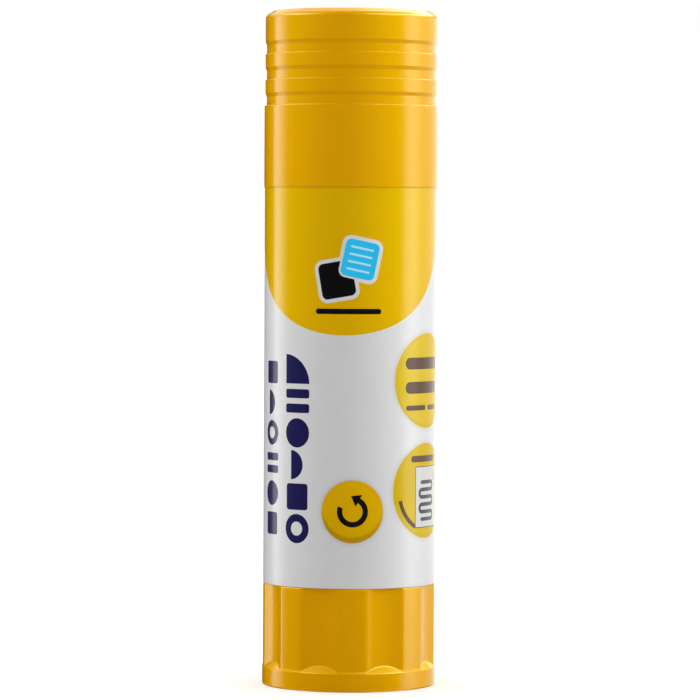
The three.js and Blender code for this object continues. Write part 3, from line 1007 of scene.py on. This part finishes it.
# Soft bands far above and below the lamps reach the body's sides only as a broad sheen.
SOFT_BANDS = (
    (-180, 0.9), (-150, 0.6), (-125, 0.9), (-110, 1.6), (-95, 2.2), (-65, 2.1), (-50, 0.7), (-40, 0),
    (8, 0), (25, 1.1), (40, 2.5), (140, 2.9), (180, 0.9),
)
LOW_BAND = 0.9
HIGH_BAND = 2.1
# Between lamps and bands, and high up except at the back, there is little light: slopes and ledges mirror
# those parts, and so does the flat top when it is seen from a little above.
THIN = 0.06
BACK_ANGLE = 150
# The rear half of the lid lights the top.
LID = 0.8
LID_EDGE = (80, 110)

BACKGROUND = 1.0
WORLD_LIGHT = 1.16

TABLE_HALF = 12.0
TABLE_TINT = (0.68, 0.72)
TABLE_LIFT = 0.33


def surround_wall(angles):
    """The wall's rows, from the foot up, as (height, strength at each angle)."""
    lamps, soft = (np.interp(angles, *zip(*table)) for table in (LAMPS, SOFT_BANDS))
    dark = np.zeros(len(angles))
    low, high = soft * LOW_BAND, soft * HIGH_BAND
    upper = np.where(np.abs(angles) < BACK_ANGLE, THIN, 1) * high
    return (
        (-1.32, dark), (-1.3, low), (-0.6, low),
        (-0.52, THIN * low), (-0.18, THIN * low),
        (-0.16, LOW_LAMPS * lamps), (-0.036, LOW_LAMPS * lamps), (-0.02, lamps), (0.16, lamps),
        (0.18, THIN * high), (0.26, THIN * high),
        (0.32, high), (0.5, high),
        (0.72, upper), (1.4, upper), (1.42, dark),
    )


def make_surround():
    """A dark drum round the set with its lamps on its wall and lid, which only gloss sees."""
    angles = np.arange(-180, 180, 1.0)
    columns = len(angles)
    wall = surround_wall(angles)
    vertices, values, faces = [], [], []
    for z, strengths in wall:
        for angle, strength in zip(np.radians(angles), strengths):
            vertices.append((SURROUND_RADIUS * math.sin(angle), -SURROUND_RADIUS * math.cos(angle), z))
            values.append(strength)
    for row in range(len(wall) - 1):
        below, above = row * columns, (row + 1) * columns
        for column in range(columns):
            following = (column + 1) % columns
            faces.append((below + column, below + following, above + following, above + column))
    faces.append(tuple(range(columns)))
    rim = len(vertices)
    vertices += vertices[-columns:] + [(0, 0, wall[-1][0])]
    values += [*np.interp(np.abs(angles), LID_EDGE, (0, LID)), LID / 2]
    faces += [(rim + k, rim + (k + 1) % columns, rim + columns) for k in range(columns)]
    mesh = bpy.data.meshes.new("surround")
    mesh.from_pydata(vertices, [], faces)
    mesh.attributes.new("strength", "FLOAT", "POINT").data.foreach_set("value", values)
    made = placed("surround", mesh)
    material = bpy.data.materials.new("surround")
    material.use_nodes = True
    material.node_tree.nodes.clear()
    material.cycles.emission_sampling = "NONE"
    nodes = Nodes(material.node_tree)
    strength = nodes.node("ShaderNodeAttribute", attribute_name="strength").outputs["Fac"]
    emission = nodes.node("ShaderNodeEmission", {"Strength": strength}).outputs["Emission"]
    nodes.node("ShaderNodeOutputMaterial", {"Surface": emission})
    mesh.materials.append(material)
    made.visible_camera = False
    made.visible_diffuse = False
    made.visible_transmission = False
    made.visible_volume_scatter = False
    made.visible_shadow = False


def path_share(nodes):
    """1 for what the camera, a reflection or a refraction sees, and 0 for the light on the object."""
    path = nodes.node("ShaderNodeLightPath").outputs
    seen = nodes.combined("MAXIMUM", path["Is Camera Ray"], path["Is Glossy Ray"])
    return nodes.combined("MAXIMUM", seen, path["Is Transmission Ray"])


def make_world():
    """Plain white light from all round."""
    world = bpy.data.worlds.new("studio")
    bpy.context.scene.world = world
    world.use_nodes = True
    # The surround stands in for the world in all gloss.
    world.cycles_visibility.glossy = False
    nodes = Nodes(world.node_tree)
    background = world.node_tree.nodes["Background"]
    nodes.feed(background.inputs["Color"], (1, 1, 1, 1))
    nodes.feed(background.inputs["Strength"], nodes.ranged(path_share(nodes), 0, 1, WORLD_LIGHT, BACKGROUND))


def make_table():
    """A matt white table that the camera sees a little lighter than it lights the object."""
    mesh = bpy.data.meshes.new("table")
    corners = ((-1, -1), (1, -1), (1, 1), (-1, 1))
    mesh.from_pydata([(x * TABLE_HALF, y * TABLE_HALF, 0) for x, y in corners], [], [(0, 1, 2, 3)])
    table = placed("table", mesh)
    table.visible_glossy = False
    material = bpy.data.materials.new("white_table")
    material.use_nodes = True
    material.node_tree.nodes.clear()
    nodes = Nodes(material.node_tree)
    speck = nodes.node("ShaderNodeTexNoise", {"Scale": 60}).outputs["Fac"]
    tint = nodes.ranged(speck, 0, 1, *TABLE_TINT)
    matt = nodes.node("ShaderNodeBsdfDiffuse", {"Color": tint}).outputs["BSDF"]
    lift = nodes.combined("MULTIPLY", path_share(nodes), TABLE_LIFT)
    glow = nodes.node("ShaderNodeEmission", {"Strength": lift}).outputs["Emission"]
    both = nodes.node("ShaderNodeAddShader", {0: matt, 1: glow}).outputs["Shader"]
    nodes.node("ShaderNodeOutputMaterial", {"Surface": both})
    mesh.materials.append(material)


make_surround()
make_world()
make_table()


# Camera

CAMERA_DISTANCE = 0.601
CAMERA_HEIGHT = 0.0683
AIM_HEIGHT = 0.0502
ROLL = 0.3
SENSOR_WIDTH = 36
LENS = 205.7

camera_data = bpy.data.cameras.new("camera")
camera_data.sensor_width = SENSOR_WIDTH
camera_data.lens = LENS
camera = bpy.data.objects.new("camera", camera_data)
camera.location = (0, -CAMERA_DISTANCE, CAMERA_HEIGHT)
aim = Vector((0, 0, AIM_HEIGHT)) - camera.location
facing = aim.to_track_quat("-Z", "Y").to_matrix() @ Matrix.Rotation(math.radians(ROLL), 3, "Z")
camera.rotation_euler = facing.to_euler()
bpy.context.scene.collection.objects.link(camera)
bpy.context.scene.camera = camera
bpy.context.scene.view_settings.view_transform = "Standard"
